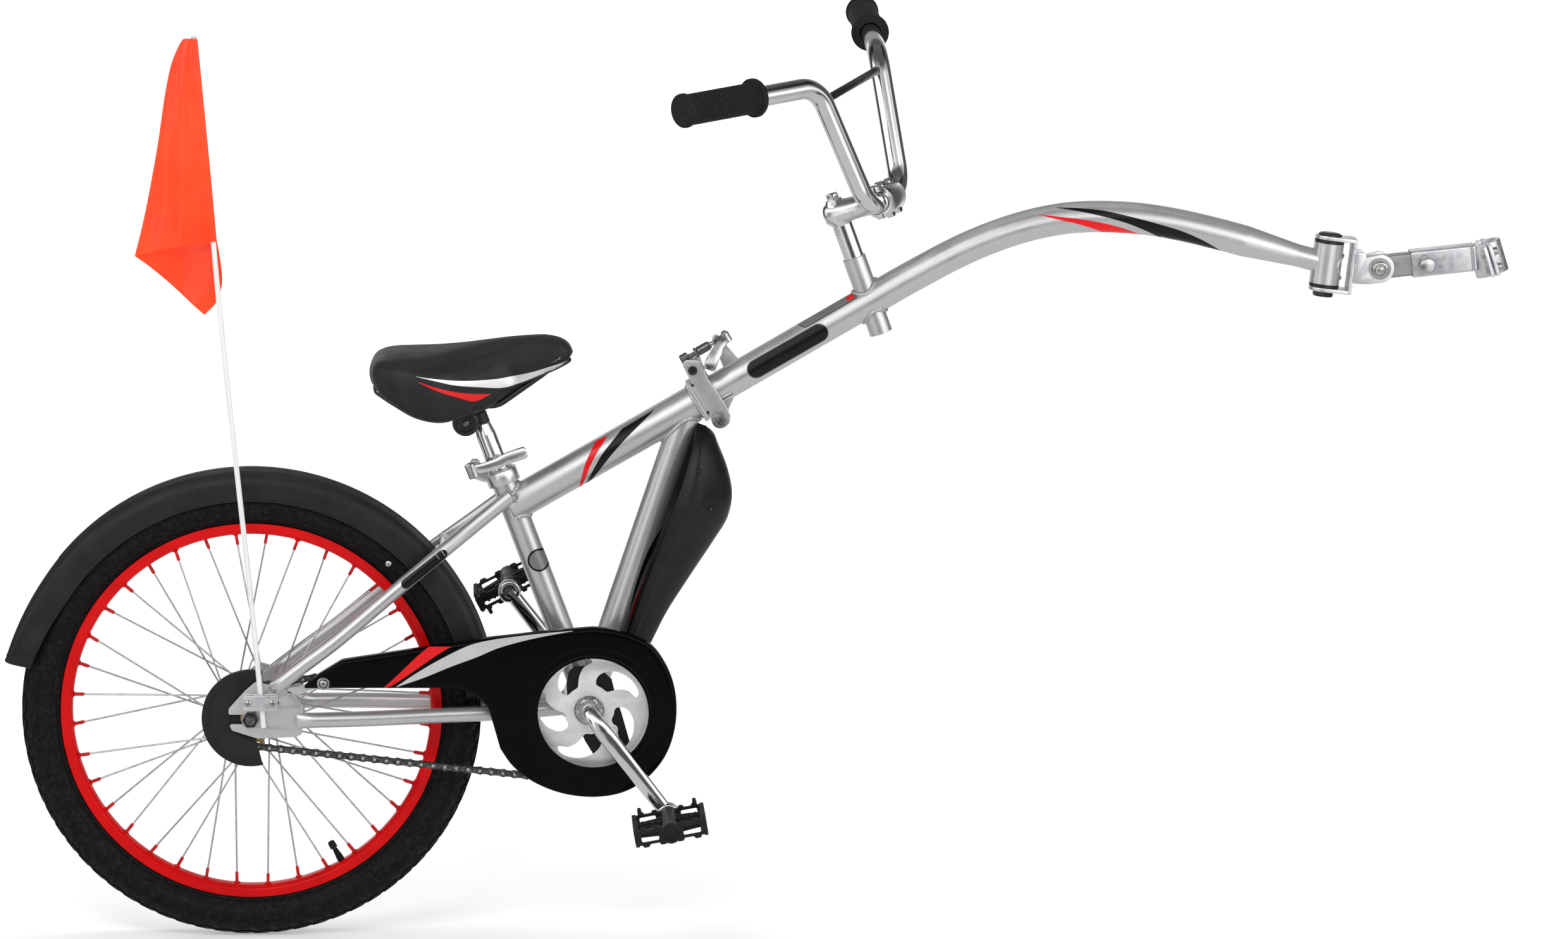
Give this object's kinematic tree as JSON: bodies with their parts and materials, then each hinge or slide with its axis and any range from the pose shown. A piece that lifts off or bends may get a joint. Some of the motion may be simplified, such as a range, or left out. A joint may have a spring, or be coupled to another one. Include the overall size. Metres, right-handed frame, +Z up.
{
  "type": "trailer bike",
  "caption": "Child's trailer bike: a driven rear wheel, saddle, raised handlebar, safety flag and a folding boom with a swivelling hitch that clamps to another bike's seat post.",
  "frame": {"origin": "on the ground, under the middle of the whole outline", "axes": "+X forward, from the wheel to the hitch; +Z up; +Y to the rider's left, away from the chain"},
  "size_m": [1.6554, 0.5116, 1.0138],
  "materials": {
    "frame_paint": "silver metallic paint with red and black curved stripes",
    "chrome": "bright chrome plate",
    "ring_plate": "satin chrome plate",
    "alloy": "polished",
    "spoke_wire": "bright zinc plate",
    "zinc": "bright zinc plate",
    "dark_steel": "blackened, oiled",
    "cog_steel": "yellow zinc plate",
    "rim_red": "glossy red",
    "tyre_rubber": "matte black with tread",
    "tube_rubber": "matte black",
    "grip_rubber": "matte black",
    "guard_gloss": "glossy black with a red stripe and a silver stripe",
    "guard_satin": "satin black",
    "pedal_black": "black, moulded",
    "clamp_black": "black",
    "saddle_vinyl": "satin black cover with red and silver swooshes",
    "pole_white": "white fibreglass",
    "flag_orange": "bright orange, thin coated cloth"
  },
  "bodies": {
    "rear_frame": {"main_tube": "frame_paint", "seat_tube": "frame_paint", "down_tube": "frame_paint", "bb_shell": "frame_paint", "bb_cup_right": "chrome", "bb_cup_left": "chrome", "chain_stay_right": "frame_paint", "chain_stay_left": "frame_paint", "seat_stay_right": "frame_paint", "seat_stay_left": "frame_paint", "dropout_right": "frame_paint", "dropout_left": "frame_paint", "stay_bridge": "frame_paint", "hinge_bracket": "frame_paint", "hinge_bolt": "zinc", "chain_guard": "guard_gloss", "cog_guard": "guard_satin", "fender": "guard_satin", "splash_guard": "guard_satin", "rear_axle": "dark_steel", "flag_clamp": "zinc", "flag_pole": "pole_white", "flag": "flag_orange", "seat_collar": "alloy", "chain": "dark_steel"},
    "wheel": {"tyre": "tyre_rubber", "inner_tube": "tube_rubber", "rim": "rim_red", "hub_shell": "alloy", "spokes_right": "spoke_wire", "spokes_left": "spoke_wire"},
    "freewheel": {"rear_cog": "cog_steel"},
    "cranks": {"crank": "chrome", "chainring": "ring_plate"},
    "right_pedal": {"pedal_right": "pedal_black"},
    "left_pedal": {"pedal_left": "pedal_black"},
    "post": {"seat_post": "chrome"},
    "saddle": {"saddle_clamp": "clamp_black", "saddle_rails": "chrome", "saddle_base": "pedal_black", "saddle_pad": "saddle_vinyl"},
    "seat_quick_release": {"seat_qr_lever": "alloy"},
    "boom": {"boom_tube": "frame_paint", "bar_tube": "frame_paint", "head_tube": "frame_paint"},
    "latch": {"swing_bolt": "zinc"},
    "latch_cam": {"cam_lever": "alloy"},
    "expander": {"expander_plug": "zinc"},
    "stem": {"quill_stem": "alloy", "stem_faceplate": "alloy"},
    "bars": {"handlebar": "chrome", "grip_right": "grip_rubber", "grip_left": "grip_rubber"},
    "swivel": {"yoke": "zinc", "kingpin": "dark_steel", "pitch_bolt": "zinc"},
    "hitch": {"tongue": "zinc", "coupler": "zinc", "post_cap": "zinc"},
    "coupler_pin": {"hitch_pin": "zinc"}
  },
  "joints": [
    {"name": "wheel_spin", "type": "hinge", "parent": "rear_frame", "child": "wheel", "pos_m": [-0.55474, -0.00561, 0.2525], "axis": [0, 1, 0], "continuous": true},
    {"name": "crank_spin", "type": "hinge", "parent": "rear_frame", "child": "cranks", "pos_m": [-0.18434, -0.00561, 0.2579], "axis": [0, 1, 0], "continuous": true},
    {"name": "cog_spin", "type": "hinge", "parent": "rear_frame", "child": "freewheel", "pos_m": [-0.55474, -0.00561, 0.2525], "axis": [0, 1, 0], "continuous": true},
    {"name": "right_pedal_spin", "type": "hinge", "parent": "cranks", "child": "right_pedal", "pos_m": [-0.09842, -0.00561, 0.14737], "axis": [0, 1, 0], "continuous": true},
    {"name": "left_pedal_spin", "type": "hinge", "parent": "cranks", "child": "left_pedal", "pos_m": [-0.27027, -0.00561, 0.36843], "axis": [0, 1, 0], "continuous": true},
    {"name": "seat_height", "type": "slide", "parent": "rear_frame", "child": "post", "axis": [-0.3487, 0, 0.9372], "range_m": [-0.02, 0.05]},
    {"name": "saddle_tilt", "type": "hinge", "parent": "post", "child": "saddle", "pos_m": [-0.31814, -0.00561, 0.5731], "axis": [0, 1, 0], "range_deg": [-15, 15]},
    {"name": "seat_lever_open", "type": "hinge", "parent": "rear_frame", "child": "seat_quick_release", "pos_m": [-0.30974, -0.03091, 0.516], "axis": [0.3487, 0, -0.9372], "range_deg": [0, 150]},
    {"name": "boom_fold", "type": "hinge", "parent": "rear_frame", "child": "boom", "pos_m": [-0.04033, -0.00561, 0.57505], "axis": [0, 1, 0], "range_deg": [0, 50]},
    {"name": "latch_swing", "type": "hinge", "parent": "boom", "child": "latch", "pos_m": [-0.04197, -0.00561, 0.66014], "axis": [0, 1, 0], "range_deg": [0, 100]},
    {"name": "latch_lever_open", "type": "hinge", "parent": "latch", "child": "latch_cam", "pos_m": [-0.03328, -0.01821, 0.66508], "axis": [-0.4939, 0, 0.8695], "range_deg": [0, 110]},
    {"name": "bar_height", "type": "slide", "parent": "boom", "child": "expander", "axis": [-0.3387, 0, 0.9409], "range_m": [-0.015, 0.035]},
    {"name": "bar_turn", "type": "hinge", "parent": "expander", "child": "stem", "pos_m": [0.10716, -0.00561, 0.7517], "axis": [-0.3387, 0, 0.9409], "range_deg": [-45, 75]},
    {"name": "bar_roll", "type": "hinge", "parent": "stem", "child": "bars", "pos_m": [0.13937, -0.02972, 0.81842], "axis": [0.4011, 0.9101, 0.1037], "range_deg": [-30, 30]},
    {"name": "hitch_yaw", "type": "hinge", "parent": "boom", "child": "swivel", "pos_m": [0.62691, -0.00561, 0.74295], "axis": [0.1167, 0, 0.9932], "range_deg": [-100, 100]},
    {"name": "hitch_pitch", "type": "hinge", "parent": "swivel", "child": "hitch", "pos_m": [0.68376, -0.00561, 0.7383], "axis": [0, 1, 0], "range_deg": [-40, 40]},
    {"name": "coupler_pin_pull", "type": "slide", "parent": "hitch", "child": "coupler_pin", "axis": [0, -1, 0], "range_m": [0, 0.045]}
  ],
  "couplings": [
    {"joint": "cog_spin", "follows": "crank_spin", "ratio": 2.5},
    {"joint": "latch_swing", "follows": "boom_fold", "ratio": 2}
  ]
}
